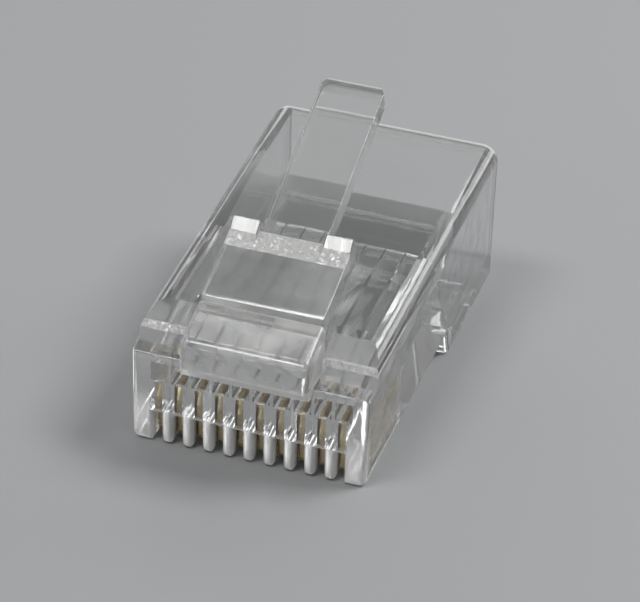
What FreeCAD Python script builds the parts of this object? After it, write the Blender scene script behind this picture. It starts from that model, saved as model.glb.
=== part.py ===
import FreeCAD, Part
import os
import re
import Sketcher

# Ten position modular plug, uncrimped, with its latch upwards and its contacts at the front (-Y).
# Formulas below measure Y back from the nose face and Z up from the underside of the rear hump.
# Every sub-part is then shifted so that the origin is the middle of the footprint.

SIZES = {
    # number of contacts and the distance between them
    "positions": 10,
    "pitch": 1.016,
    # outside of the housing
    "length": 21.46,
    "height": 8.0,
    "nose_half": 5.84,
    "rear_half": 6.06,
    "edge_round": 0.9,
    "nose_floor": 1.5,
    "nose_edge_round": 0.35,
    "nose_round": 0.45,
    "rear_round": 0.3,
    "mouth_round": 0.2,
    "hump_round": 0.25,
    "hump_front": 13.7,
    "hump_lean": 0.5,
    "front_top": 6.72,
    "ledge_depth": 0.9,
    "ledge_round": 0.15,
    "knee_y": 1.45,
    "knee_z": 7.5,
    "shoulder_back": 2.9,
    # comb of fingers that keeps the contacts apart
    "slot_width": 0.4,
    "slot_back": 6.1,
    "slot_top": 4.95,
    "window_top": 3.4,
    "web_depth": 0.5,
    "finger_round": 0.29,
    "finger_front_round": 0.29,
    # conductor channels above the contacts
    "channel_half": 0.43,
    "channel_floor": 4.9,
    "channel_roof": 5.95,
    "channel_front": 0.8,
    "channel_taper": 8.8,
    "channel_back": 11.8,
    "rib_end": 0.06,
    # cable cavity behind the channels
    "cavity_half": 5.12,
    "cavity_floor": 1.3,
    "cavity_roof": 7.05,
    "funnel_front": 11.6,
    "funnel_roof_back": 15.2,
    "funnel_floor_back": 14.2,
    # jacket clamp bar in the floor of the cavity
    "window_front": 14.9,
    "window_half": 4.75,
    "bar_half": 4.6,
    "bar_front": 15.2,
    "bar_bottom": 0.25,
    "bar_crest": 1.28,
    "bar_crest_run": 1.1,
    "bar_hinge_y": 18.2,
    "bar_hinge_z": 0.65,
    "bar_hinge_radius": 0.4,
    # brow, the thick block in front of the nose that the latch grows from
    "brow_half": 3.15,
    "brow_reach": 0.9,
    "brow_foot": 6.2,
    "brow_low": 6.43,
    "brow_bevel_y": 0.28,
    "brow_bevel_z": 0.5,
    "brow_shoulder": 7.85,
    "brow_round": 0.7,
    "brow_slope": 14.0,
    "brow_back": 1.78,
    "brow_side_round": 0.3,
    # hinge line at the back of the brow, where the latch bends
    "hinge_y": 2.15,
    "hinge_z": 8.5,
    "hinge_radius": 0.45,
    "hinge_gap": 0.04,
    # wide plate of the latch with its two locking shoulders
    "latch_half": 3.02,
    "crest_y": 1.87,
    "crest_z": 9.41,
    "crest_drop": 0.05,
    "crest_run": 0.13,
    "plate_slope": 16.6,
    "plate_thickness": 1.1,
    "ridge_foot": 4.85,
    "ramp_top_y": 5.67,
    "ramp_top_z": 10.64,
    "lock_top_y": 6.27,
    "lock_top_z": 11.09,
    "lock_foot": 6.72,
    # narrow lever of the latch
    "lever_half": 1.63,
    "lever_foot_y": 6.1,
    "lever_foot_z": 10.55,
    "lever_tip_y": 15.43,
    "lever_tip_z": 13.9,
    "lever_thickness": 1.05,
    "tip_round": 0.55,
    "tip_edge_round": 0.2,
    # contact blades
    "blade_thickness": 0.3,
    "blade_front": 0.62,
    "blade_back": 5.85,
    "blade_bottom": 1.58,
    "blade_shoulder": 4.05,
    "blade_tip": 4.8,
    "blade_front_round": 0.55,
    "blade_back_round": 0.3,
    "tines": 3,
    "tine_width": 0.75,
    "tine_flat": 0.14,
    # room past a face that a cut starts or ends in
    "overshoot": 0.5,
}

# Formulas that several sketches share.
BROW_ARC_Y = "(brow_round * (1 - sin(brow_slope)) - brow_reach)"
BROW_ARC_Z = "(brow_shoulder + brow_round * cos(brow_slope))"
BROW_TOP = f"({BROW_ARC_Z} + (brow_back - {BROW_ARC_Y}) * tan(brow_slope))"
RIDGE_FOOT_Z = "(crest_z + (ridge_foot - crest_y) * tan(plate_slope))"
PLATE_DROP = "(plate_thickness / cos(plate_slope))"
LEVER_RISE = "((lever_tip_z - lever_foot_z) / (lever_tip_y - lever_foot_y))"
LEVER_TILT = f"atan({LEVER_RISE})"
FIRST_X = "(-(positions - 1) / 2 * pitch)"
MIDDLE_Y = "((length - brow_reach) / 2)"
ACROSS = "(2 * (rear_half + overshoot))"

# Lengths closer than this, in millimetres, are taken as equal.
SAME = 1e-4

doc = FreeCAD.newDocument("modular_plug")
sheet = doc.addObject("Spreadsheet::Sheet", "Sizes")
for row, (alias, size) in enumerate(SIZES.items(), start=1):
    sheet.set(f"A{row}", alias)
    sheet.set(f"B{row}", str(size))
    sheet.setAlias(f"B{row}", alias)
doc.recompute()


def formula(text):
    """Point every size that a formula names at its cell in the sheet."""
    def cell(word):
        return "Sizes." + word.group() if word.group() in SIZES else word.group()
    return re.sub(r"[a-z_]+", cell, text)


def worth(text):
    """Value of a formula, in millimetres or as a plain number."""
    return float(sheet.evalExpression(formula(text)))


def near(first, second):
    """Whether two lengths agree."""
    return abs(first - second) < SAME


def underside(y):
    """Height of the latch plate's underside at a Y."""
    return f"(crest_z + ({y} - crest_y) * tan(plate_slope) - {PLATE_DROP})"


def lever_top(y):
    """Height of the lever's upper face at a Y."""
    return f"(lever_foot_z + ({y} - lever_foot_y) * {LEVER_RISE})"


def lever_point(along, below):
    """Point beside the lever's upper tip: a distance along the lever and a distance below its upper face."""
    return (f"lever_tip_y + ({along}) * cos({LEVER_TILT}) + ({below}) * sin({LEVER_TILT})",
            f"lever_tip_z + ({along}) * sin({LEVER_TILT}) - ({below}) * cos({LEVER_TILT})")


def new_body(label):
    """Empty body for one sub-part, centred on the footprint along Y."""
    body = doc.addObject("PartDesign::Body", label)
    body.Label = label
    body.setExpression("Placement.Base.y", formula(f"-{MIDDLE_Y}"))
    return body


def new_sketch(body, name, role, offset):
    """Empty sketch on one of the body's own planes, moved along that plane's normal."""
    sketch = body.newObject("Sketcher::SketchObject", name)
    plane = next(feature for feature in body.Origin.OriginFeatures if feature.Role == role)
    sketch.AttachmentSupport = [(plane, "")]
    sketch.MapMode = "FlatFace"
    sketch.setExpression("AttachmentOffset.Base.z", formula(offset))
    return sketch


def tilt(sketch, y, angle):
    """Move a sketch of the plan view back by y, and tip it up about X."""
    sketch.AttachmentOffset = FreeCAD.Placement(
        FreeCAD.Vector(0, 0, 0), FreeCAD.Rotation(FreeCAD.Vector(1, 0, 0), worth(angle)))
    sketch.setExpression("AttachmentOffset.Base.y", formula(y))
    sketch.setExpression("AttachmentOffset.Rotation.Angle", formula(angle))


def bind(sketch, constraint, text):
    """Add a constraint whose value follows a formula."""
    index = sketch.addConstraint(constraint)
    sketch.setExpression(f"Constraints[{index}]", formula(text))


def arc_between(start, end, radius, left):
    """Short arc from start to end, with its centre on the left or right of that direction."""
    along = end - start
    middle = (start + end) * 0.5
    across = FreeCAD.Vector(-along.y, along.x, 0).normalize()
    reach = max(radius ** 2 - (along.Length / 2) ** 2, 0.0) ** 0.5
    centre = middle + across * (reach if left else -reach)
    bulge = centre + (middle - centre).normalize() * radius
    return Part.Arc(start, bulge, end)


def outline(body, name, role, corners, offset="0"):
    """Closed sketch through corners of two formulas each.

    A corner with a third entry, (radius, side), starts an arc to the next corner; side tells on which
    hand the arc's centre lies.
    """
    sketch = new_sketch(body, name, role, offset)
    points = [FreeCAD.Vector(worth(corner[0]), worth(corner[1]), 0) for corner in corners]
    starts = []
    ends = []
    for index, corner in enumerate(corners):
        start = points[index]
        end = points[(index + 1) % len(points)]
        if len(corner) == 2:
            edge = sketch.addGeometry(Part.LineSegment(start, end))
            starts.append((edge, 1))
            ends.append((edge, 2))
            continue
        radius, side = corner[2]
        edge = sketch.addGeometry(arc_between(start, end, worth(radius), side == "left"))
        first_is_start = near(sketch.getPoint(edge, 1).distanceToPoint(start), 0)
        starts.append((edge, 1 if first_is_start else 2))
        ends.append((edge, 2 if first_is_start else 1))
        bind(sketch, Sketcher.Constraint("Radius", edge, worth(radius)), radius)
    for index, corner in enumerate(corners):
        sketch.addConstraint(Sketcher.Constraint("Coincident", *ends[index - 1], *starts[index]))
        place = (-1, 1, *starts[index])
        bind(sketch, Sketcher.Constraint("DistanceX", *place, points[index].x), corner[0])
        bind(sketch, Sketcher.Constraint("DistanceY", *place, points[index].y), corner[1])
    return sketch


def disc(body, name, centre, radius):
    """Circle in the side view, about an axis along X."""
    sketch = new_sketch(body, name, "YZ_Plane", "0")
    middle = FreeCAD.Vector(worth(centre[0]), worth(centre[1]), 0)
    edge = sketch.addGeometry(Part.Circle(middle, FreeCAD.Vector(0, 0, 1), worth(radius)))
    bind(sketch, Sketcher.Constraint("Radius", edge, worth(radius)), radius)
    bind(sketch, Sketcher.Constraint("DistanceX", -1, 1, edge, 3, middle.x), centre[0])
    bind(sketch, Sketcher.Constraint("DistanceY", -1, 1, edge, 3, middle.y), centre[1])
    return sketch


def extrude(body, kind, sketch, depth, symmetric=True, reverse=False):
    """Pad or pocket of a sketch; a pocket that removes nothing, or a pad that adds nothing, is an error."""
    before = body.Shape.Volume if body.Tip else 0.0
    feature = body.newObject("PartDesign::" + kind, sketch.Name + "_" + kind.lower())
    feature.Profile = sketch
    feature.SideType = "Symmetric" if symmetric else "One side"
    feature.Reversed = reverse
    feature.setExpression("Length", formula(depth))
    doc.recompute()
    change = body.Shape.Volume - before
    if (change <= 0) == (kind == "Pad"):
        raise RuntimeError(f"{feature.Name} changes the volume by {change:.4f}")
    return feature


def repeat(body, features):
    """Copies of the features at every contact position, along X."""
    pattern = body.newObject("PartDesign::LinearPattern", body.Label + "_positions")
    pattern.Originals = features
    along_x = next(axis for axis in body.Origin.OriginFeatures if axis.Role == "X_Axis")
    pattern.Direction = (along_x, [""])
    pattern.setExpression("Length", formula("(positions - 1) * pitch"))
    pattern.setExpression("Occurrences", formula("positions"))
    body.Tip = pattern
    doc.recompute()
    return pattern


def round_edges(body, name, radius, chosen):
    """Fillet on the edges of the body that the test picks by their end points."""
    base = body.Tip
    names = []
    for index, edge in enumerate(base.Shape.Edges, start=1):
        ends = [vertex.Point for vertex in edge.Vertexes]
        if len(ends) == 2 and chosen(*ends):
            names.append(f"Edge{index}")
    if not names:
        raise RuntimeError(f"{name} found no edge")
    fillet = body.newObject("PartDesign::Fillet", name)
    fillet.Base = (base, names)
    fillet.setExpression("Radius", formula(radius))
    doc.recompute()
    return fillet


def housing_outside(body):
    """Clear moulding before it is hollowed: body, nose, shoulders and the latch's brow."""
    height = worth("height")
    length = worth("length")
    nose_floor = worth("nose_floor")
    hump_front = worth("hump_front")
    plan = outline(body, "housing_plan", "XY_Plane", [
        ("-nose_half", "0"), ("nose_half", "0"), ("rear_half", "length"), ("-rear_half", "length")])
    extrude(body, "Pad", plan, "height", symmetric=False)
    round_edges(body, "top_edges", "edge_round",
                lambda a, b: near(a.z, height) and near(b.z, height) and not near(a.y, b.y))
    round_edges(body, "rear_edges", "rear_round",
                lambda a, b: near(a.y, length) and near(b.y, length)
                or near(a.z, 0) and near(b.z, 0) and not near(a.y, b.y))
    below = outline(body, "nose_underside", "YZ_Plane", [
        ("0", "nose_floor + nose_round", ("nose_round", "left")), ("nose_round", "nose_floor"),
        ("hump_front - hump_lean", "nose_floor"), ("hump_front", "0"),
        ("hump_front", "-overshoot"), ("-overshoot", "-overshoot"),
        ("-overshoot", "nose_floor + nose_round")])
    extrude(body, "Pocket", below, ACROSS)
    round_edges(body, "nose_edges", "nose_edge_round",
                lambda a, b: near(a.z, nose_floor) and near(b.z, nose_floor) and not near(a.y, b.y))
    round_edges(body, "hump_edge", "hump_round",
                lambda a, b: near(a.z, 0) and near(b.z, 0) and near(a.y, hump_front) and near(b.y, hump_front))
    above = outline(body, "shoulder_slope", "YZ_Plane", [
        ("-overshoot", "front_top - ledge_round"), ("0", "front_top - ledge_round", ("ledge_round", "right")),
        ("ledge_round", "front_top"), ("ledge_depth", "front_top"), ("knee_y", "knee_z"),
        ("shoulder_back", "height"), ("shoulder_back", "height + overshoot"),
        ("-overshoot", "height + overshoot")])
    extrude(body, "Pocket", above, ACROSS)
    brow = outline(body, "brow", "YZ_Plane", [
        ("shoulder_back", "brow_foot"), ("0", "brow_foot"), ("brow_bevel_y - brow_reach", "brow_low"),
        ("-brow_reach", "brow_low + brow_bevel_z"), ("-brow_reach", "brow_shoulder", ("brow_round", "right")),
        (BROW_ARC_Y, BROW_ARC_Z), ("brow_back", BROW_TOP), ("brow_back", "height"),
        ("shoulder_back", "height")])
    extrude(body, "Pad", brow, "2 * brow_half")
    reach = worth("brow_reach")
    round_edges(body, "brow_sides", "brow_side_round",
                lambda a, b: near(a.x, b.x) and near(a.y, -reach) and near(b.y, -reach))
    seat = disc(body, "latch_seat", ("hinge_y", "hinge_z"), "hinge_radius + hinge_gap")
    extrude(body, "Pocket", seat, "2 * brow_half")


def housing_comb(body):
    """Slots for the contacts, with rounded fingers between them, and the conductor channels above."""
    slot = outline(body, "contact_slot", "YZ_Plane", [
        ("-overshoot", "nose_floor - overshoot"), ("slot_back", "nose_floor - overshoot"),
        ("slot_back", "slot_top"), ("web_depth", "slot_top"), ("web_depth", "window_top"),
        ("-overshoot", "window_top")], FIRST_X)
    first_slot = extrude(body, "Pocket", slot, "slot_width")
    left = f"({FIRST_X} - slot_width / 2)"
    right = f"({FIRST_X} + slot_width / 2)"
    mouth = outline(body, "finger_ends", "XZ_Plane", [
        (left, "nose_floor + finger_round", ("finger_round", "right")),
        (f"{left} - finger_round", "nose_floor"), (f"{left} - finger_round", "nose_floor - overshoot"),
        (f"{right} + finger_round", "nose_floor - overshoot"),
        (f"{right} + finger_round", "nose_floor", ("finger_round", "right")),
        (right, "nose_floor + finger_round")], "overshoot")
    first_mouth = extrude(body, "Pocket", mouth, "slot_back + overshoot", symmetric=False)
    flare = outline(body, "finger_fronts", "XY_Plane", [
        (left, "finger_front_round", ("finger_front_round", "right")),
        (f"{left} - finger_front_round", "0"), (f"{left} - finger_front_round", "-overshoot"),
        (f"{right} + finger_front_round", "-overshoot"),
        (f"{right} + finger_front_round", "0", ("finger_front_round", "right")),
        (right, "finger_front_round")])
    first_flare = extrude(body, "Pocket", flare, "window_top", symmetric=False, reverse=True)
    wide = "((pitch - rib_end) / 2)"
    channel = outline(body, "conductor_channel", "XY_Plane", [
        (f"{FIRST_X} - channel_half", "channel_front"), (f"{FIRST_X} + channel_half", "channel_front"),
        (f"{FIRST_X} + channel_half", "channel_taper"), (f"{FIRST_X} + {wide}", "channel_back"),
        (f"{FIRST_X} - {wide}", "channel_back"), (f"{FIRST_X} - channel_half", "channel_taper")],
        "channel_floor")
    first_channel = extrude(body, "Pocket", channel, "channel_roof - channel_floor",
                            symmetric=False, reverse=True)
    repeat(body, [first_slot, first_mouth, first_flare, first_channel])


def housing_cavity(body):
    """Funnel for the cable, and the window in its floor where the jacket clamp bar sits."""
    funnel = outline(body, "cable_cavity", "YZ_Plane", [
        ("funnel_front", "channel_floor"), ("funnel_floor_back", "cavity_floor"),
        ("length + overshoot", "cavity_floor"), ("length + overshoot", "cavity_roof"),
        ("funnel_roof_back", "cavity_roof"), ("funnel_front", "channel_roof")])
    extrude(body, "Pocket", funnel, "2 * cavity_half")
    length = worth("length")
    inside = worth("cavity_half") + SAME
    round_edges(body, "mouth_edges", "mouth_round",
                lambda a, b: near(a.y, length) and near(b.y, length) and max(abs(a.x), abs(b.x)) < inside)
    window = outline(body, "clamp_window", "YZ_Plane", [
        ("window_front", "-overshoot"), ("bar_hinge_y", "-overshoot"),
        ("bar_hinge_y", "cavity_floor + overshoot"), ("window_front", "cavity_floor + overshoot")])
    extrude(body, "Pocket", window, "2 * window_half")
    seat = disc(body, "clamp_seat", ("bar_hinge_y", "bar_hinge_z"), "bar_hinge_radius + hinge_gap")
    extrude(body, "Pocket", seat, "2 * window_half")


def make_housing():
    body = new_body("housing")
    housing_outside(body)
    housing_comb(body)
    housing_cavity(body)
    return body


def make_latch():
    """Sprung latch: root drum, wide plate with two locking shoulders, and the lever that a finger presses."""
    body = new_body("latch")
    drum = disc(body, "root_drum", ("hinge_y", "hinge_z"), "hinge_radius")
    extrude(body, "Pad", drum, "2 * latch_half")
    plate = outline(body, "plate", "YZ_Plane", [
        ("crest_y", "crest_z - crest_drop"),
        ("crest_y + crest_run", "crest_z + crest_run * tan(plate_slope)"),
        ("ridge_foot", RIDGE_FOOT_Z), ("ramp_top_y", "ramp_top_z"),
        ("lock_top_y", "lock_top_z"), ("lock_foot", underside("lock_foot")),
        ("hinge_y", underside("hinge_y")), ("crest_y", "hinge_z")])
    extrude(body, "Pad", plate, "2 * latch_half")
    saddle = outline(body, "saddle", "YZ_Plane", [
        ("ridge_foot", RIDGE_FOOT_Z), ("lever_foot_y", "lever_foot_z"),
        ("lock_foot + overshoot", lever_top("(lock_foot + overshoot)")),
        ("lock_foot + overshoot", "lock_top_z + overshoot"), ("ridge_foot", "lock_top_z + overshoot")])
    extrude(body, "Pocket", saddle, "2 * lever_half")
    inside = "(lever_foot_y - overshoot)"
    lever = outline(body, "lever", "YZ_Plane", [
        (inside, f"{RIDGE_FOOT_Z} + ({inside} - ridge_foot) * (lever_foot_z - {RIDGE_FOOT_Z}) "
                 "/ (lever_foot_y - ridge_foot)"),
        ("lever_foot_y", "lever_foot_z"),
        (*lever_point("-tip_edge_round", "0"), ("tip_edge_round", "right")),
        lever_point("0", "tip_edge_round"),
        (*lever_point("0", "lever_thickness - tip_edge_round"), ("tip_edge_round", "right")),
        lever_point("-tip_edge_round", "lever_thickness"),
        ("lock_foot", underside("lock_foot")), (inside, underside(inside))])
    extrude(body, "Pad", lever, "2 * lever_half")
    corners = outline(body, "tip_corners", "XY_Plane", [
        ("-lever_half", "-tip_round", ("tip_round", "right")), ("tip_round - lever_half", "0"),
        ("lever_half - tip_round", "0", ("tip_round", "right")), ("lever_half", "-tip_round"),
        ("lever_half + overshoot", "-tip_round"), ("lever_half + overshoot", "overshoot"),
        ("-lever_half - overshoot", "overshoot"), ("-lever_half - overshoot", "-tip_round")], "lever_tip_z")
    tilt(corners, "lever_tip_y", LEVER_TILT)
    extrude(body, "Pocket", corners, "2 * (lever_thickness + overshoot)")
    return body


def make_clamp_bar():
    """Bar that a crimping tool tips up into the cavity, to grip the cable's jacket."""
    body = new_body("jacket_clamp_bar")
    drum = disc(body, "bar_drum", ("bar_hinge_y", "bar_hinge_z"), "bar_hinge_radius")
    extrude(body, "Pad", drum, "2 * bar_half")
    wedge = outline(body, "bar_wedge", "YZ_Plane", [
        ("bar_front", "bar_bottom"), ("bar_hinge_y", "bar_bottom"),
        ("bar_hinge_y", "bar_hinge_z + bar_hinge_radius"), ("bar_front + bar_crest_run", "bar_crest"),
        ("bar_front", "bar_crest")])
    extrude(body, "Pad", wedge, "2 * bar_half")
    return body


def tine_corners(index):
    """Three-sided tine, counted from the front, with a narrow flat at its point."""
    run = "((blade_back - blade_front - tine_width) / (tines - 1))"
    centre = f"(blade_front + tine_width / 2 + {index} * {run})"
    return [
        (f"{centre} + tine_width / 2", "blade_shoulder"), (f"{centre} + tine_flat / 2", "blade_tip"),
        (f"{centre} - tine_flat / 2", "blade_tip"), (f"{centre} - tine_width / 2", "blade_shoulder")]


def make_contact(number):
    """Insulation-piercing contact blade: rounded below for the socket's springs, with tines above."""
    body = new_body(f"contact_{number:02d}")
    corners = [
        ("blade_front", "blade_bottom + blade_front_round", ("blade_front_round", "left")),
        ("blade_front + blade_front_round", "blade_bottom"),
        ("blade_back - blade_back_round", "blade_bottom", ("blade_back_round", "left")),
        ("blade_back", "blade_bottom + blade_back_round")]
    for index in reversed(range(int(worth("tines")))):
        corners += tine_corners(index)
    blade = outline(body, f"blade_{number:02d}", "YZ_Plane", corners)
    extrude(body, "Pad", blade, "blade_thickness")
    body.setExpression("Placement.Base.x", formula(f"{FIRST_X} + {number - 1} * pitch"))
    doc.recompute()
    return body


sub_parts = [make_housing(), make_latch(), make_clamp_bar()]
for number in range(1, int(worth("positions")) + 1):
    sub_parts.append(make_contact(number))
doc.recompute()

for item in doc.Objects:
    if "Invalid" in item.State or "Error" in item.State:
        raise RuntimeError(f"{item.Label} failed: {item.State}")
for body in sub_parts:
    if body.Shape.isNull() or not body.Shape.isValid() or len(body.Shape.Solids) != 1:
        raise RuntimeError(f"{body.Label} is not one valid solid")

os.makedirs("parts", exist_ok=True)
for body in sub_parts:
    body.Shape.exportStep(f"parts/{body.Label}.step")
    box = body.Shape.BoundBox
    print(f"{body.Label}: {body.Shape.Volume:.2f} mm3, X {box.XMin:.2f} to {box.XMax:.2f}, "
          f"Y {box.YMin:.2f} to {box.YMax:.2f}, Z {box.ZMin:.2f} to {box.ZMax:.2f}")
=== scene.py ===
# %% [markdown]
# A ten position modular plug is one clear plastic moulding with ten gold-plated blades in its nose.
# The model comes in as a frame: every solid at its real size and place, in metres. This lesson dresses
# that frame. It never moves a solid. It gives each one a finish, and a finer mesh in the same place.

# %% load the frame
import functools
import math
import bmesh
import bpy
from mathutils import Matrix, Vector


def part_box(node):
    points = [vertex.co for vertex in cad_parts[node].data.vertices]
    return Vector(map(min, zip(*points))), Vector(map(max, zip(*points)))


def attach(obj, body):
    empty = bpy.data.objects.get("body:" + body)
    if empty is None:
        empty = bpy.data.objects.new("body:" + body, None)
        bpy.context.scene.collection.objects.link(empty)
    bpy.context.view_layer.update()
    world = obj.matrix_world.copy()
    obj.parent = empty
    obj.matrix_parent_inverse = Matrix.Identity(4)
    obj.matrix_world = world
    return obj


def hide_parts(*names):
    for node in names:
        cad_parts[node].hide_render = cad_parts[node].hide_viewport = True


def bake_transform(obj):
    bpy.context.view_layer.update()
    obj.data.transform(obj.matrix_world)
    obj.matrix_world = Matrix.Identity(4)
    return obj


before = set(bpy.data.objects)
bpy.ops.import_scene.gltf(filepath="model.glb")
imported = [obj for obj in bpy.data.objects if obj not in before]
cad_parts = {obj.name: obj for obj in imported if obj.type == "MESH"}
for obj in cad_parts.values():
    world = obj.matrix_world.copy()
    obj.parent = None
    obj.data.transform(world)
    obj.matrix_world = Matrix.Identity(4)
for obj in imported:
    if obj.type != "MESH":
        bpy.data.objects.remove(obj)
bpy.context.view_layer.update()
MM = 0.001
contacts = sorted(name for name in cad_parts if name.startswith("contact_"))
print("solids in the frame:", len(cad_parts), "of which contacts:", len(contacts))

# %% [markdown]
# Sizes are written in millimetres, as a maker would. Depths count back from the face of the nose, because
# that is where a plug is measured from. The frame puts its zero in the middle of the plug, so one small
# function turns a depth into a place.

# %% places on the plug
NOSE_FACE = -10.28


def depth(millimetres):
    """Y in millimetres, in the frame, of a depth behind the face of the nose."""
    return NOSE_FACE + millimetres


print("the face of the nose is at Y", depth(0), "mm")

# %% [markdown]
# Shader maths is easier to read as sums and products than as a picture of boxes and wires. One small
# class holds an output socket. Adding or multiplying two of them adds a Math node, and its method
# add() makes any other node. Masks are made from soft steps: above(), below() and within().

# %% a socket that can be added and multiplied
SOFT = 0.1
NOISE_MIDDLE = 0.5


class Flow:
    """An output socket of a node tree."""

    def __init__(self, tree, socket=None):
        self.tree = tree
        self.socket = socket

    def add(self, kind, settings=None, sockets=None, out=0):
        """Make a node: its settings first, then a value or a link for each named or numbered socket."""
        node = self.tree.nodes.new(kind)
        for name, value in (settings or {}).items():
            setattr(node, name, value)
        for name, value in (sockets or {}).items():
            if isinstance(value, Flow):
                self.tree.links.new(value.socket, node.inputs[name])
            else:
                node.inputs[name].default_value = value
        return Flow(self.tree, node.outputs[out])

    def maths(self, operation, first, second=0.0):
        """A Math node of two values."""
        return self.add("ShaderNodeMath", {"operation": operation}, {0: first, 1: second})

    def __add__(self, other):
        return self.maths("ADD", self, other)

    __radd__ = __add__

    def __sub__(self, other):
        return self.maths("SUBTRACT", self, other)

    def __rsub__(self, other):
        return self.maths("SUBTRACT", other, self)

    def __mul__(self, other):
        return self.maths("MULTIPLY", self, other)

    __rmul__ = __mul__

    def size(self):
        """The value without its sign."""
        return self.maths("ABSOLUTE", self)

    def or_else(self, other):
        """The larger of two values."""
        return self.maths("MAXIMUM", self, other)

    def above(self, edge, soft=SOFT):
        """0 below an edge, 1 above it, with a smooth step that is soft wide."""
        return self.add("ShaderNodeMapRange", {"interpolation_type": "SMOOTHSTEP"},
                        {"Value": self, "From Min": edge - soft / 2, "From Max": edge + soft / 2})

    def below(self, edge, soft=SOFT):
        """1 below an edge, 0 above it."""
        return 1 - self.above(edge, soft)

    def within(self, low, high, soft=SOFT):
        """1 between low and high, 0 outside."""
        return self.above(low, soft) * self.below(high, soft)

    def noise(self, place, grain, detail, roughness=0.5):
        """Cloudy noise from 0 to 1, whose lumps are about grain millimetres across."""
        return self.add("ShaderNodeTexNoise", sockets={
            "Vector": place, "Scale": 1 / grain, "Detail": detail, "Roughness": roughness})


print("a socket knows", ", ".join(name for name in vars(Flow) if not name.startswith("_")))

# %% [markdown]
# Every finish starts in the same way: an empty material, and the place on the piece in millimetres. The
# place comes from Object coordinates. All pieces sit at the origin of the frame, so one pattern runs on
# from piece to piece, as it does on a real moulding. Stretching one axis turns noise into scratches.

# %% the start of every finish
OBJECT_PLACE = 3


def new_material(name):
    """Empty material, the start of its node tree, and its output node."""
    material = bpy.data.materials.new(name)
    material.use_nodes = True
    material.node_tree.nodes.clear()
    output = material.node_tree.nodes.new("ShaderNodeOutputMaterial")
    return material, Flow(material.node_tree), output


def millimetre_place(flow, stretch=(1.0, 1.0, 1.0)):
    """Place on the piece in millimetres, with each axis stretched for patterns that run along one way."""
    place = flow.add("ShaderNodeTexCoord", out=OBJECT_PLACE)
    return flow.add("ShaderNodeMapping", sockets={
        "Vector": place, "Scale": tuple(share / MM for share in stretch)})


def place_parts(flow, place):
    """X, Y and Z of a place, as three values."""
    node = flow.add("ShaderNodeSeparateXYZ", sockets={"Vector": place}).socket.node
    return [Flow(flow.tree, socket) for socket in node.outputs]


print("patterns are measured in millimetres, and 1 mm is", MM, "m")

# %% [markdown]
# A mould is polished where the plastic has to be clear. Other parts are left as sparks cut them, and there
# the plastic is milky and glitters. On the latch those are the two ramps up to its lock pads and the one up
# to its lever. Painting such zones by hand would need an image. Here a zone is a mask made from the place
# on the piece, with its edges where the edges of the solid are.

# %% zones of the latch
RAMP_FOOT = 4.85
SIDE_RAMP_TOP = 5.68
MIDDLE_RAMP_TOP = 6.12
RAMP_LOW = 9.9
LEVER_HALF = 1.63
LEVER_TIP = 15.25
LEVER_LOW = 9.0
BROW_BACK = 1.8
PLATE_LOW = 8.2


def latch_zones(side, y, z):
    """Masks of the ramps, the plate, and the end of the lever, which gets a painted highlight."""
    beside = side.above(LEVER_HALF, soft=0.04)
    side_ramp = y.within(depth(RAMP_FOOT), depth(SIDE_RAMP_TOP), soft=0.04) * beside
    middle_ramp = y.within(depth(RAMP_FOOT), depth(MIDDLE_RAMP_TOP), soft=0.06) * (1 - beside)
    ramp = side_ramp.or_else(middle_ramp) * z.above(RAMP_LOW)
    plate = y.within(depth(BROW_BACK), depth(RAMP_FOOT)) * z.above(PLATE_LOW)
    # painted highlight: the end of the lever is made milky white where its rounded end catches the lamps
    tip = y.above(depth(LEVER_TIP)) * z.above(LEVER_LOW)
    return ramp, plate, tip


print("the ramps run from", RAMP_FOOT, "to", MIDDLE_RAMP_TOP, "mm behind the nose")

# %% [markdown]
# At the nose the fingers and posts of the comb are milky. The foot of the brow, the block that the latch
# grows from, is made milky white as a painted highlight: it stands in for the light that the brow gathers
# inside and lets out at its lower edge. A narrow glittering strip runs along the knee of each shoulder. Wide
# soft edges suit what fades away, and narrow ones suit what ends at an edge of the mould.

# %% zones of the nose
COMB_TOP = 3.45
COMB_HALF = 5.0
COMB_DEPTH = 0.5
POST_TOP = 4.2
POST_INNER = 4.9
BROW_LOW = 6.3
BROW_HALF = 3.16
SHOULDER_BACK = 2.9
SHOULDER_LOW = 6.4
SHOULDER_INNER = 3.1
KNEE_HEIGHTS = (7.24, 7.54)
KNEE_FRONT = 1.2
KNEE_BACK = 1.56
KNEE_INNER = 3.3


def nose_zones(side, y, z):
    """Masks of the fingers and posts of the comb, the brow, the shoulders and the knee across them."""
    comb = z.below(COMB_TOP, soft=0.25) * side.below(COMB_HALF) * y.below(depth(COMB_DEPTH), soft=0.3)
    posts = z.below(POST_TOP, soft=1.6) * side.above(POST_INNER) * y.below(depth(COMB_DEPTH), soft=0.5)
    brow = z.above(BROW_LOW, soft=0.2) * side.below(BROW_HALF, soft=0.02) * y.below(depth(BROW_BACK))
    shoulder = z.above(SHOULDER_LOW, soft=0.3) * side.above(SHOULDER_INNER)
    shoulder = shoulder * y.below(depth(SHOULDER_BACK), soft=0.3)
    knee = z.within(*KNEE_HEIGHTS, soft=0.05) * side.above(KNEE_INNER)
    knee = knee * y.within(depth(KNEE_FRONT), depth(KNEE_BACK), soft=0.05)
    return comb.or_else(posts), brow, shoulder, knee


print("the brow is", 2 * BROW_HALF, "mm wide, and the comb", 2 * COMB_HALF, "mm")
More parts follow.
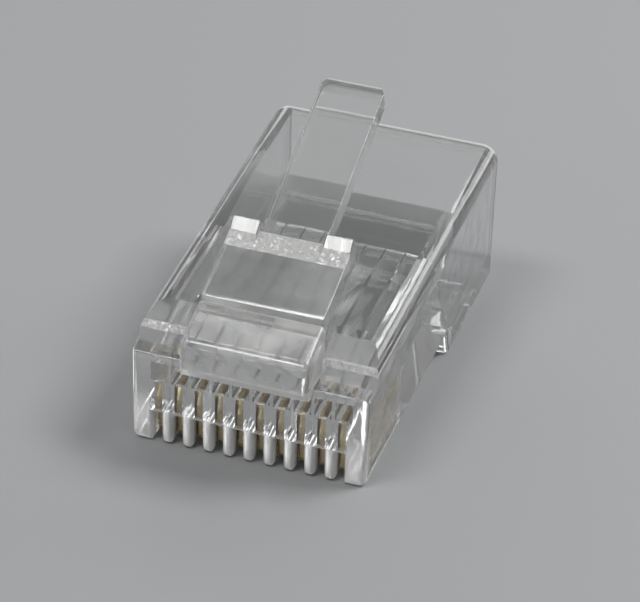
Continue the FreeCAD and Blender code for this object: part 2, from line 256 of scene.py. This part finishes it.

# %% [markdown]
# Two tables say how milky and how satin each zone is. Where zones meet, the stronger one wins. A slow noise
# breaks up the brow and the shoulders, because plastic that cools in a thick block turns cloudy unevenly.
# The rim at the cable end is made milky white too, most of all along its top edge, as a painted highlight.

# %% how milky, satin and sparkling each place is
REAR_RIM = 21.05
RIM_LOW = 7.6
RIM_PAINTED_HIGHLIGHT = 0.25
RIM_TOP_PAINTED_HIGHLIGHT = 0.5
BROW_HIGHLIGHT_TOP = 7.3
BROW_HIGHLIGHT_WAVE = 0.5
BROW_HAZE = 0.1
BROW_CLOUDS = 0.4
CLOUD = 2.0
# the brow foot, the rear rim and the lever end are made milky only to paint highlights on them
MILKY = {"comb": 0.8, "spark": 0.62, "brow_foot": 0.8, "brow_cloud": 1.0, "rear_rim_painted_highlight": 1.0, "tip": 0.6,
         "plate": 0.06, "shoulder_cloud": 0.14}
SATIN = {"brow": 0.45, "plate": 0.6, "shoulder": 0.3}


def strongest(masks, shares):
    """The largest of several masks, each taken with its share."""
    return functools.reduce(Flow.or_else, [share * masks[name] for name, share in shares.items()])


def moulded_zones(flow, place):
    """How much each place sparkles, how milky it is and how satin it is."""
    x, y, z = place_parts(flow, place)
    side = x.size()
    cloud = flow.noise(place, CLOUD, detail=1.0)
    ramp, plate, tip = latch_zones(side, y, z)
    comb, brow, shoulder, knee = nose_zones(side, y, z)
    # painted highlight: the rear rim, most of all its top edge, is made milky white
    rim_highlight_share = RIM_PAINTED_HIGHLIGHT + RIM_TOP_PAINTED_HIGHLIGHT * z.above(RIM_LOW, soft=0.4)
    masks = {"comb": comb, "brow": brow, "plate": plate, "shoulder": shoulder, "tip": tip}
    masks["spark"] = ramp.or_else(knee)
    # painted highlight: the lower part of the brow is made milky white in place of light gathered inside it
    masks["brow_foot"] = brow * (z + BROW_HIGHLIGHT_WAVE * cloud).below(BROW_HIGHLIGHT_TOP, soft=0.25)
    masks["brow_cloud"] = brow * (BROW_HAZE + BROW_CLOUDS * cloud.above(NOISE_MIDDLE, soft=0.5))
    masks["rear_rim_painted_highlight"] = y.above(depth(REAR_RIM), soft=0.2) * rim_highlight_share
    masks["shoulder_cloud"] = shoulder * cloud
    return masks["spark"], strongest(masks, MILKY), strongest(masks, SATIN)


print("milky zones:", len(MILKY), "and satin zones:", len(SATIN))

# %% [markdown]
# Polycarbonate is clear and a little grey, and its refractive index is 1.585. A glass shader would do for
# the polished zones, but not for the milky ones, so two Principled shaders are mixed by the milky mask.
# Glitter can't come from a smooth bump: the real surface is tiny facets, so each cell of a Voronoi texture
# tilts the normal its own way. Slow swirls left by the flowing plastic and fine scratches finish it.

# %% clear plastic
PLASTIC_INDEX = 1.585
CLEAR_TINT = (0.955, 0.962, 0.957, 1.0)
MILKY_TINT = (0.90, 0.895, 0.88, 1.0)
CLEAR_SHARE = 0.97
MILKY_SHARE = 0.35
POLISHED = 0.03
SCRATCHED = 0.06
SPARKED = 0.06
SATIN_FINISH = 0.26
FROSTED = 0.34
PITTED = 0.14
SCRATCH = 0.05
SCRATCH_LEVEL = 0.62
SCRATCH_STRETCH = (1.0, 0.06, 1.0)
PIT = 0.2
FACET = 0.11
FACET_TILT = 0.8
MIDDLE_GREY = (0.5, 0.5, 0.5)
SWIRL = 1.6
SWIRL_HEIGHT = 0.006
CELL_COLOUR = 1
SURFACE_NORMAL = 1


def sparkle(flow, place, amount):
    """Normals of small facets, each tilted its own way, where the mould was cut by sparks."""
    cells = flow.add("ShaderNodeTexVoronoi", sockets={"Vector": place, "Scale": 1 / FACET}, out=CELL_COLOUR)
    tilt = flow.add("ShaderNodeVectorMath", {"operation": "SUBTRACT"}, {0: cells, 1: MIDDLE_GREY})
    push = flow.add("ShaderNodeVectorMath", {"operation": "SCALE"}, {0: tilt, "Scale": amount})
    normal = flow.add("ShaderNodeNewGeometry", out=SURFACE_NORMAL)
    tilted = flow.add("ShaderNodeVectorMath", {"operation": "ADD"}, {0: normal, 1: push})
    return flow.add("ShaderNodeVectorMath", {"operation": "NORMALIZE"}, {0: tilted})


def clear_plastic():
    """Polished plastic, with milky, satin and sparkling zones, faint flow lines and fine scratches."""
    material, flow, output = new_material("clear_polycarbonate_moulding")
    place = millimetre_place(flow)
    spark, milky, satin = moulded_zones(flow, place)
    streaks = flow.noise(millimetre_place(flow, SCRATCH_STRETCH), SCRATCH, detail=3.0)
    scratches = streaks.above(SCRATCH_LEVEL)
    pits = flow.noise(place, PIT, detail=3.0, roughness=0.6)
    relief = flow.add("ShaderNodeBump", sockets={
        "Height": flow.noise(place, SWIRL, detail=1.0), "Strength": 1.0, "Distance": SWIRL_HEIGHT * MM,
        "Normal": sparkle(flow, place, FACET_TILT * spark)})
    polished = flow.add("ShaderNodeBsdfPrincipled", sockets={
        "Base Color": CLEAR_TINT, "IOR": PLASTIC_INDEX, "Transmission Weight": CLEAR_SHARE, "Normal": relief,
        "Roughness": POLISHED + SCRATCHED * scratches + SPARKED * spark + SATIN_FINISH * satin})
    frosted = flow.add("ShaderNodeBsdfPrincipled", sockets={
        "Base Color": MILKY_TINT, "IOR": PLASTIC_INDEX, "Transmission Weight": MILKY_SHARE,
        "Normal": relief, "Roughness": FROSTED + PITTED * pits})
    mixed = flow.add("ShaderNodeMixShader", sockets={"Fac": milky, 1: polished, 2: frosted})
    flow.tree.links.new(mixed.socket, output.inputs["Surface"])
    return material


clear = clear_plastic()
print("made", clear.name, "with", len(clear.node_tree.nodes), "nodes")

# %% [markdown]
# The blades are bronze strip with a very thin coat of gold, so the metal shows through in places and the
# colour is a pale champagne. Rolling the strip leaves fine lines along it. One metal shader is enough: a
# soft noise mixes two golds and dulls the gloss in patches, and stretched noise makes the lines.

# %% gold plate
BRIGHT_GOLD = (0.83, 0.70, 0.44, 1.0)
THIN_GOLD = (0.68, 0.55, 0.33, 1.0)
GOLD_POLISH = 0.16
GOLD_DULL = 0.2
GOLD_PATCH = 0.6
ROLLING_LINE = 0.03
ROLLING_STRETCH = (1.0, 0.08, 1.0)
ROLLING_HEIGHT = 0.01
ROLLING_STRENGTH = 0.3
MIXED_COLOUR = 2


def gold_plate():
    """Thin bright gold over stamped bronze: rolling lines on the flats, and the plating dulled in patches."""
    material, flow, output = new_material("gold_plated_blade")
    lines = flow.noise(millimetre_place(flow, ROLLING_STRETCH), ROLLING_LINE, detail=3.0)
    patches = flow.noise(millimetre_place(flow), GOLD_PATCH, detail=3.0)
    tone = flow.add("ShaderNodeMix", {"data_type": "RGBA"}, {
        "Factor": patches.above(NOISE_MIDDLE, soft=0.8), "A": BRIGHT_GOLD, "B": THIN_GOLD}, out=MIXED_COLOUR)
    relief = flow.add("ShaderNodeBump", sockets={
        "Height": lines, "Strength": ROLLING_STRENGTH, "Distance": ROLLING_HEIGHT * MM})
    metal = flow.add("ShaderNodeBsdfPrincipled", sockets={
        "Base Color": tone, "Metallic": 1.0, "Roughness": GOLD_POLISH + GOLD_DULL * patches,
        "Normal": relief})
    flow.tree.links.new(metal.socket, output.inputs["Surface"])
    return material


gold = gold_plate()
print("made", gold.name, "with", len(gold.node_tree.nodes), "nodes")

# %% [markdown]
# A solid's mesh is loose triangles. A copy of it is merged, and its flat faces are made whole, before
# anything is done to it. No moulded edge is sharp, so a Bevel puts small rounds on the edges. The result is
# kept as a plain mesh, because nothing that is handed over may depend on a modifier.

# %% merging and rounding a piece
EDGE_ROUND = 0.06
EDGE_ANGLE = math.radians(25)
EDGE_STEPS = 3
JOIN = 1e-4
FLAT_ANGLE = math.radians(0.3)


def merged_copy(node):
    """Mesh of a solid with its corners joined and its flat faces whole."""
    mesh = bmesh.new()
    mesh.from_mesh(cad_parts[node].data)
    bmesh.ops.remove_doubles(mesh, verts=mesh.verts, dist=JOIN * MM)
    bmesh.ops.dissolve_limit(mesh, angle_limit=FLAT_ANGLE, verts=mesh.verts, edges=mesh.edges)
    return mesh


def as_object(name, mesh, material):
    """Object that holds a mesh."""
    piece = bpy.data.objects.new(name, bpy.data.meshes.new(name))
    mesh.to_mesh(piece.data)
    mesh.free()
    piece.data.materials.append(material)
    bpy.context.scene.collection.objects.link(piece)
    return piece


def round_edges(piece, width):
    """Small rounds on the edges of a piece, kept as its plain mesh."""
    rounds = piece.modifiers.new("edge_rounds", "BEVEL")
    rounds.width = width * MM
    rounds.segments = EDGE_STEPS
    rounds.limit_method = "ANGLE"
    rounds.angle_limit = EDGE_ANGLE
    graph = bpy.context.evaluated_depsgraph_get()
    piece.data = bpy.data.meshes.new_from_object(piece.evaluated_get(graph))
    piece.modifiers.clear()
    piece.data.name = piece.name


print("moulded edges get a round of", EDGE_ROUND, "mm in", EDGE_STEPS, "steps")

# %% [markdown]
# Shading all of a piece smooth would bend the light on its flat faces, which shows at once on clear
# plastic. Blender can weigh normals by area, but its limits are too coarse for faces this small. So the
# normals are set one by one: a broad face keeps its own, and a narrow one runs into the broad face beside it.

# %% shading a piece
BEVEL_SMOOTH = math.radians(35)
BROAD = 0.5


def corner_normal(corner, broad, smooth_angle):
    """Shading normal at a corner of a face: its own if it is broad, else that of the face it runs into."""
    own = corner.face.normal
    if corner.face in broad:
        return own
    near = [face for face in corner.vert.link_faces if face.normal.angle(own, 0) < smooth_angle]
    flats = [face for face in near if face in broad]
    if flats:
        return min(flats, key=lambda face: face.normal.angle(own, 0)).normal
    return sum((face.normal for face in near), Vector()).normalized()


def even_shading(piece, smooth_angle):
    """Shade rounds smooth, and keep broad faces flat."""
    mesh = bmesh.new()
    mesh.from_mesh(piece.data)
    broad = set()
    for face in mesh.faces:
        face.smooth = True
        if face.calc_area() / max(edge.calc_length() for edge in face.edges) > BROAD * MM:
            broad.add(face)
    normals = [corner_normal(corner, broad, smooth_angle) for face in mesh.faces for corner in face.loops]
    mesh.to_mesh(piece.data)
    piece.data.normals_split_custom_set(normals)
    mesh.free()


print("faces broader than", BROAD, "mm stay flat")

# %% [markdown]
# The latch bends at a thin line behind the brow. On the real plug it is one piece with the housing, so
# here its root reaches a little way into the brow. The plate is cut across in several places, which gives
# the mesh edges to bend at. Hinging it as one stiff piece would open a gap at the root.

# %% latch
HINGE_DEPTH = 2.15
HINGE_HEIGHT = 8.5
ROOT_REACH = 0.51
ROOT_RISE = 0.6
ROOT_FOOT = 1.6
CREST_DEPTH = 1.87
SAME_PLACE = 0.01
BEND_CUTS = [1.95, 2.15, 2.35, 2.6, 2.85, 3.1, 3.4]


def sink_root(mesh):
    """Push the drum at the latch's root outwards, and its front face forwards, to meet the brow."""
    hinge = Vector((0, depth(HINGE_DEPTH), HINGE_HEIGHT)) * MM
    reach = ROOT_REACH * MM
    for vertex in mesh.verts:
        arm = Vector((0, vertex.co.y, vertex.co.z)) - hinge
        if reach / 2 < arm.length < reach:
            vertex.co += arm.normalized() * (reach - arm.length)
    for vertex in mesh.verts:
        on_front = abs(vertex.co.y - depth(CREST_DEPTH) * MM) < SAME_PLACE * MM
        if on_front and vertex.co.z < (HINGE_HEIGHT + ROOT_RISE) * MM:
            vertex.co.y = depth(ROOT_FOOT) * MM


def make_latch():
    """Latch that grows out of the brow, cut across behind it where it bends."""
    mesh = merged_copy("latch")
    sink_root(mesh)
    for cut in BEND_CUTS:
        bmesh.ops.bisect_plane(mesh, geom=mesh.verts[:] + mesh.edges[:] + mesh.faces[:],
                               plane_co=(0, depth(cut) * MM, 0), plane_no=(0, 1, 0))
    latch = as_object("latch_moulding", mesh, clear)
    round_edges(latch, EDGE_ROUND)
    even_shading(latch, BEVEL_SMOOTH)
    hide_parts("latch")
    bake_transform(latch)
    return latch


latch = make_latch()
print("latch:", len(latch.data.polygons), "faces")

# %% [markdown]
# The clamp bar lies in the floor of the cable cavity. The crimping tool tips it up into the cable's jacket,
# and it turns on a drum along its rear edge. It needs only a copy of its solid with rounded edges. The top
# of the drum is made a hair flatter, which leaves room under the lip of the housing when the bar is tipped.

# %% jacket clamp bar
DRUM_START = 18.1
DRUM_TOP = 1.0


def make_clamp_bar():
    """Clamp bar with rounded edges and a drum that clears the lip above it."""
    mesh = merged_copy("jacket_clamp_bar")
    for vertex in mesh.verts:
        if vertex.co.y > depth(DRUM_START) * MM:
            vertex.co.z = min(vertex.co.z, DRUM_TOP * MM)
    bar = as_object("clamp_bar_moulding", mesh, clear)
    round_edges(bar, EDGE_ROUND)
    even_shading(bar, BEVEL_SMOOTH)
    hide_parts("jacket_clamp_bar")
    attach(bar, "jacket_clamp_bar")
    return bar


bar = make_clamp_bar()
print("clamp bar:", len(bar.data.polygons), "faces")

# %% [markdown]
# The housing comes with its rounds already in the solid, so it only needs even shading. The exception is
# the comb. Each finger ends where three rounds meet, and they meet in ridges, while a moulded finger ends
# in a soft dome. Sculpting is not needed: the end is cut into narrow strips, and each point that sticks
# out of an ellipsoid is pulled back onto it.

# %% housing
HOUSING_SMOOTH = math.radians(25)
FINGER_FOOT = 1.503
FINGER_HALF = 0.31
FINGER_FRONT = 0.29
TIP_HALF = 0.33
TIP_TOP = 1.953
DOME_HEIGHT = 0.43
DOME_REACH = 0.45
DOME_CUTS = [-0.2, -0.1, 0.0, 0.1, 0.2]


def finger_middles():
    """X of each finger of the comb: half way between two contacts."""
    places = sorted((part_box(name)[0][0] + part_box(name)[1][0]) / 2 for name in contacts)
    return [(left + right) / 2 for left, right in zip(places, places[1:])]


def in_tip(point, middle):
    """Whether a point belongs to the end of the finger at a middle."""
    beside = abs(point.x - middle) < TIP_HALF * MM
    return beside and point.y < depth(DOME_REACH) * MM and point.z < TIP_TOP * MM


def dome_finger(mesh, middle):
    """Turn the end of one finger into a dome."""
    for cut in DOME_CUTS:
        faces = [face for face in mesh.faces if all(in_tip(vertex.co, middle) for vertex in face.verts)]
        edges = dict.fromkeys(edge for face in faces for edge in face.edges)
        verts = dict.fromkeys(vertex for face in faces for vertex in face.verts)
        bmesh.ops.bisect_plane(mesh, geom=[*verts, *edges, *faces],
                               plane_co=(middle + cut * MM, 0, 0), plane_no=(1, 0, 0))
    centre = Vector((middle, depth(FINGER_FRONT) * MM, (FINGER_FOOT + DOME_HEIGHT) * MM))
    for vertex in mesh.verts:
        if in_tip(vertex.co, middle):
            arm = vertex.co - centre
            arm.y = min(arm.y, 0)
            arm.z = min(arm.z, 0)
            share = Vector((arm.x / FINGER_HALF, arm.y / FINGER_FRONT, arm.z / DOME_HEIGHT)).length / MM
            if share > 1:
                vertex.co -= arm * (1 - 1 / share)


def make_housing():
    """Housing whose rounds are shaded smooth and whose fingers end in domes."""
    mesh = merged_copy("housing")
    for middle in finger_middles():
        dome_finger(mesh, middle)
    housing = as_object("housing_moulding", mesh, clear)
    even_shading(housing, HOUSING_SMOOTH)
    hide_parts("housing")
    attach(housing, "housing")
    return housing


housing = make_housing()
print("housing:", len(housing.data.polygons), "faces, and", len(finger_middles()), "domed fingers")

# %% [markdown]
# Ten equal blades sit in the comb. A blade is stamped from strip: round below, where the socket's springs
# slide over it, and cut into three teeth above, which pierce the wires. That is a rule, so geometry nodes
# can follow it. Four corners make a tooth and two make the foot, and a corner's number says which it is.

# %% corners of a stamped blade
TOOTH_CORNERS = 4
FOOT_CORNERS = 2
TEETH = 3


class Rule(Flow):
    """A socket of a geometry tree, which a field can come from as well."""

    def add(self, kind, settings=None, sockets=None, out=0):
        """Make a node as Flow does, and give a Rule."""
        made = super().add(kind, settings, sockets, out)
        return Rule(made.tree, made.socket)

    def pick(self, values):
        """The value whose place in the list this number names."""
        node = self.tree.nodes.new("GeometryNodeIndexSwitch")
        node.data_type = "FLOAT"
        for _ in range(len(values) - len(node.index_switch_items)):
            node.index_switch_items.new()
        self.tree.links.new(self.socket, node.inputs["Index"])
        for socket, value in zip(list(node.inputs)[1:], values):
            self.tree.links.new(value.socket, socket)
        return Rule(self.tree, node.outputs[0])


def blade_corners(rule, size):
    """Along, up and round of each corner of the outline, by the corner's number."""
    index = rule.add("GeometryNodeInputIndex")
    foot = index - TOOTH_CORNERS * TEETH
    is_foot = rule.maths("GREATER_THAN", foot, -0.5)
    corner = rule.maths("MODULO", index, TOOTH_CORNERS)
    tooth = rule.maths("FLOOR", index * (1 / TOOTH_CORNERS))
    half = size["Tooth Width"] * 0.5
    flat = size["Tooth Flat"] * 0.5
    length = size["Back"] - size["Front"]
    middle = size["Back"] - half - tooth * ((length - size["Tooth Width"]) * (1 / (TEETH - 1)))
    tooth_along = middle + corner.pick([half, flat, 0 - flat, 0 - half])
    tooth_up = corner.pick([size["Shoulder"], size["Tip"], size["Tip"], size["Shoulder"]])
    along = tooth_along * (1 - is_foot) + (size["Front"] + foot * length) * is_foot
    up = tooth_up * (1 - is_foot) + size["Bottom"] * is_foot
    foot_round = size["Front Round"] + foot * (size["Back Round"] - size["Front Round"])
    return along, up, size["Corner Round"] * (1 - is_foot) + foot_round * is_foot


print("a blade has", TOOTH_CORNERS * TEETH + FOOT_CORNERS, "corners")

# %% [markdown]
# The tree draws one blade from named sizes. It lays the corners on a line of points, rounds them, fills the
# outline and extrudes it to the thickness of the strip, as a press would punch it. Then it stands the blade
# up in its slot. Modelling ten blades by hand would give ten chances of a slip.

# %% the rule of a stamped blade
CORNER_STEPS = 6
BLADE_JOIN = 0.001
STAND_UP = (math.pi / 2, 0, math.pi / 2)
BLADE_SIZES = {"Shoulder": 4.05, "Tooth Width": 0.75, "Tooth Flat": 0.14, "Corner Round": 0.025,
               "Front Round": 0.55, "Back Round": 0.3}
BLADE_PLACES = ["Front", "Back", "Bottom", "Tip", "Left", "Thickness"]


def blade_face(rule, size):
    """Flat blade with rounded corners."""
    along, up, corner_round = blade_corners(rule, size)
    points = rule.add("GeometryNodeMeshLine", sockets={"Count": TOOTH_CORNERS * TEETH + FOOT_CORNERS})
    laid = rule.add("GeometryNodeSetPosition", sockets={
        "Geometry": points, "Position": rule.add("ShaderNodeCombineXYZ", sockets={"X": along, "Y": up})})
    open_line = rule.add("GeometryNodeMeshToCurve", sockets={"Mesh": laid})
    outline = rule.add("GeometryNodeSetSplineCyclic", sockets={"Geometry": open_line, "Cyclic": True})
    rounded = rule.add("GeometryNodeFilletCurve", {"mode": "POLY"}, {
        "Curve": outline, "Count": CORNER_STEPS, "Radius": corner_round, "Limit Radius": True})
    return rule.add("GeometryNodeFillCurve", {"mode": "NGONS"}, {"Curve": rounded})


def thick_blade(rule, size):
    """Blade of the strip's thickness, stood up in its slot."""
    face = blade_face(rule, size)
    side = rule.add("GeometryNodeExtrudeMesh", {"mode": "FACES"}, {
        "Mesh": face, "Offset Scale": size["Thickness"], "Individual": False})
    back_face = rule.add("GeometryNodeFlipFaces", sockets={"Mesh": face})
    join = rule.tree.nodes.new("GeometryNodeJoinGeometry")
    for part in (back_face, side):
        rule.tree.links.new(part.socket, join.inputs["Geometry"])
    whole = rule.add("GeometryNodeMergeByDistance", sockets={
        "Geometry": Rule(rule.tree, join.outputs[0]), "Distance": BLADE_JOIN * MM})
    return rule.add("GeometryNodeTransform", sockets={
        "Geometry": whole, "Rotation": STAND_UP,
        "Translation": rule.add("ShaderNodeCombineXYZ", sockets={"X": size["Left"]})})


def blade_tree(material):
    """Tree with named sizes that draws one stamped blade."""
    tree = bpy.data.node_groups.new("stamped_blade", "GeometryNodeTree")
    for name in BLADE_PLACES + list(BLADE_SIZES):
        tree.interface.new_socket(name, in_out="INPUT", socket_type="NodeSocketFloat")
    tree.interface.new_socket("Blade", in_out="OUTPUT", socket_type="NodeSocketGeometry")
    given = tree.nodes.new("NodeGroupInput")
    size = {socket.name: Rule(tree, socket) for socket in given.outputs if socket.name}
    rule = Rule(tree)
    plain = rule.add("GeometryNodeRealizeInstances", sockets={"Geometry": thick_blade(rule, size)})
    dressed = rule.add("GeometryNodeSetMaterial", sockets={"Geometry": plain, "Material": material})
    result = tree.nodes.new("NodeGroupOutput")
    tree.links.new(dressed.socket, result.inputs["Blade"])
    return tree


stamped_blade = blade_tree(gold)
print("made", stamped_blade.name, "with", len(BLADE_PLACES) + len(BLADE_SIZES), "named sizes")

# %% [markdown]
# The tree is used once for each contact, with the box of its solid as its sizes, so that every blade
# stands exactly where its contact is and moves with it. The result is kept as a plain mesh, because the
# export knows nothing of trees. A small bevel takes the burr off the stamped edges, and it is what catches
# the light between the fingers.

# %% ten blades
BLADE_EDGE = 0.1


def make_blade(node, tree):
    """Blade that fills the box of its solid."""
    low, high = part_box(node)
    values = [low[1], high[1], low[2], high[2], low[0], high[0] - low[0]]
    sizes = dict(zip(BLADE_PLACES, values))
    sizes.update({name: value * MM for name, value in BLADE_SIZES.items()})
    blade = bpy.data.objects.new(f"blade_{node[-2:]}", bpy.data.meshes.new("blade"))
    bpy.context.scene.collection.objects.link(blade)
    stamping = blade.modifiers.new("stamping", "NODES")
    stamping.node_group = tree
    for item in tree.interface.items_tree:
        if item.in_out == "INPUT":
            stamping[item.identifier] = sizes[item.name]
    round_edges(blade, BLADE_EDGE)
    even_shading(blade, BEVEL_SMOOTH)
    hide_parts(node)
    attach(blade, node)
    return blade


blades = [make_blade(node, stamped_blade) for node in contacts]
print("blades:", len(blades), "of", len(blades[0].data.polygons), "faces each")

# %% [markdown]
# A plug doesn't lie flat. It rests on the front edge of the hump below its cable entry and on the ends of
# its fingers, so it leans forward. The frame is not turned for that: the floor is tilted instead, until it
# touches both. It is a plain pale sheet, because clear plastic takes its colour from what lies under it.
# The sheet is large, so its size is in metres.

# %% floor
HUMP_FRONT = 3.42
FINGER_TOUCH = 0.4
FLOOR_SIZE = 1.2
FLOOR_GREY = (0.37, 0.375, 0.38, 1.0)
FLOOR_ROUGHNESS = 0.8
FLOOR_SHINE = 0.2


def make_floor():
    """Pale floor under the hump and the fingers. Gives its lean."""
    lean = -math.atan2(FINGER_FOOT, HUMP_FRONT - depth(FINGER_TOUCH))
    half = FLOOR_SIZE / 2
    corners = [(-half, -half, 0), (half, -half, 0), (half, half, 0), (-half, half, 0)]
    mesh = bpy.data.meshes.new("floor")
    mesh.from_pydata(corners, [], [(0, 1, 2, 3)])
    floor = bpy.data.objects.new("floor", mesh)
    bpy.context.scene.collection.objects.link(floor)
    floor.matrix_world = Matrix.Translation((0, HUMP_FRONT * MM, 0)) @ Matrix.Rotation(lean, 4, "X")
    material, flow, output = new_material("pale_floor")
    paper = flow.add("ShaderNodeBsdfPrincipled", sockets={
        "Base Color": FLOOR_GREY, "Roughness": FLOOR_ROUGHNESS, "Specular IOR Level": FLOOR_SHINE})
    flow.tree.links.new(paper.socket, output.inputs["Surface"])
    mesh.materials.append(material)
    return lean


floor_lean = make_floor()
print("the floor leans", round(math.degrees(floor_lean), 2), "degrees")

# %% [markdown]
# Clear plastic is seen by what it mirrors. Each softbox is put where one kind of face sends it to the
# camera: the key where the two lock pads do, the rim where the crest of the latch does, left and right
# where the long top edges do. The plate, the lever and the flat top mirror none of them and stay dark,
# which is what makes the pads stand out. The fill and an even grey world bring up the rest. A row of the
# table says what softbox() needs, in its order, with lengths in metres.

# %% lights
LIGHT_DISTANCE = 0.25
PLUG_MIDDLE = Vector((0, 0, 0.006))
UP = (0, 0, 1)
ALONG = (0, 1, 0)
SOFTBOXES = [
    ("key", (-0.24, -0.35, 0.91), 0.09, 0.05, 0.18, ALONG),
    ("fill", (0.5, 0.3, 0.81), 0.1, 0.1, 0.32, ALONG),
    ("rim", (0.0, 1.0, 0.11), 0.3, 0.04, 0.12, UP),
    ("front", (-0.6, -0.78, 0.2), 0.12, 0.05, 0.07, UP),
    ("left", (-0.56, 0.78, 0.29), 0.12, 0.06, 0.06, UP),
    ("right", (0.58, 0.78, 0.25), 0.12, 0.06, 0.06, UP),
]
WORLD_GREY = (0.26, 0.26, 0.265, 1.0)


def softbox(name, direction, width, height, watts, upright):
    """Area light that looks at the plug from a direction, with its height along the upright."""
    lamp = bpy.data.lights.new(name, "AREA")
    lamp.shape = "RECTANGLE"
    lamp.size = width
    lamp.size_y = height
    lamp.energy = watts
    holder = bpy.data.objects.new(name, lamp)
    bpy.context.scene.collection.objects.link(holder)
    away = Vector(direction).normalized()
    across = Vector(upright).cross(away).normalized()
    holder.matrix_world = Matrix((across, away.cross(across), away)).transposed().to_4x4()
    holder.location = PLUG_MIDDLE + away * LIGHT_DISTANCE
    return lamp


def even_world():
    """World that is the same soft grey all round."""
    world = bpy.data.worlds.new("studio")
    bpy.context.scene.world = world
    world.use_nodes = True
    background = world.node_tree.nodes["Background"]
    background.inputs["Color"].default_value = WORLD_GREY
    background.inputs["Strength"].default_value = 1.0


lamps = [softbox(*row) for row in SOFTBOXES]
even_world()
print("softboxes:", len(lamps), "of", round(sum(lamp.energy for lamp in lamps), 2), "watts together")

# %% [markdown]
# The camera stands where the photograph was taken from: a little to the right of the nose and above it,
# with a long lens. Its place was solved from edges seen in the photograph, with the plug's main sizes put
# in from memory of its standard. A ray through the plug passes many walls, so the light needs more bounces
# than Blender gives it at first.

# %% camera
IMAGE_WIDTH = 640
SENSOR = 36.0
FOCAL_PIXELS = 3044.7
VIEW_AZIMUTH = math.radians(17.31)
VIEW_ELEVATION = math.radians(35.29)
VIEW_ROLL = math.radians(1.85)
VIEW_DISTANCE = 151.389 * MM
LOOK_AT = Vector((0, 0.5236, 3.7826)) * MM
WALL_BOUNCES = 32
GLOSS_BOUNCES = 16
STRAY_LIGHT = 3.0
CLIP = (0.001, 10.0)


def make_camera():
    """Camera at the angle of the photograph."""
    lens = bpy.data.cameras.new("camera")
    lens.sensor_width = SENSOR
    lens.lens = FOCAL_PIXELS * SENSOR / IMAGE_WIDTH
    lens.clip_start, lens.clip_end = CLIP
    back = Vector((math.sin(VIEW_AZIMUTH) * math.cos(VIEW_ELEVATION),
                   -math.cos(VIEW_AZIMUTH) * math.cos(VIEW_ELEVATION), math.sin(VIEW_ELEVATION)))
    level = Vector((math.cos(VIEW_AZIMUTH), math.sin(VIEW_AZIMUTH), 0))
    upright = back.cross(level)
    right = level * math.cos(VIEW_ROLL) + upright * math.sin(VIEW_ROLL)
    up = upright * math.cos(VIEW_ROLL) - level * math.sin(VIEW_ROLL)
    camera = bpy.data.objects.new("camera", lens)
    bpy.context.scene.collection.objects.link(camera)
    turn = Matrix((right, up, back)).transposed().to_4x4()
    camera.matrix_world = Matrix.Translation(LOOK_AT + back * VIEW_DISTANCE) @ turn
    bpy.context.scene.camera = camera
    return camera


camera = make_camera()
bpy.context.scene.view_settings.view_transform = "Standard"
bpy.context.scene.cycles.max_bounces = WALL_BOUNCES
bpy.context.scene.cycles.transmission_bounces = WALL_BOUNCES
bpy.context.scene.cycles.glossy_bounces = GLOSS_BOUNCES
bpy.context.scene.cycles.sample_clamp_indirect = STRAY_LIGHT
print("lens of", round(camera.data.lens, 1), "mm at", round(VIEW_DISTANCE / MM), "mm from the plug")
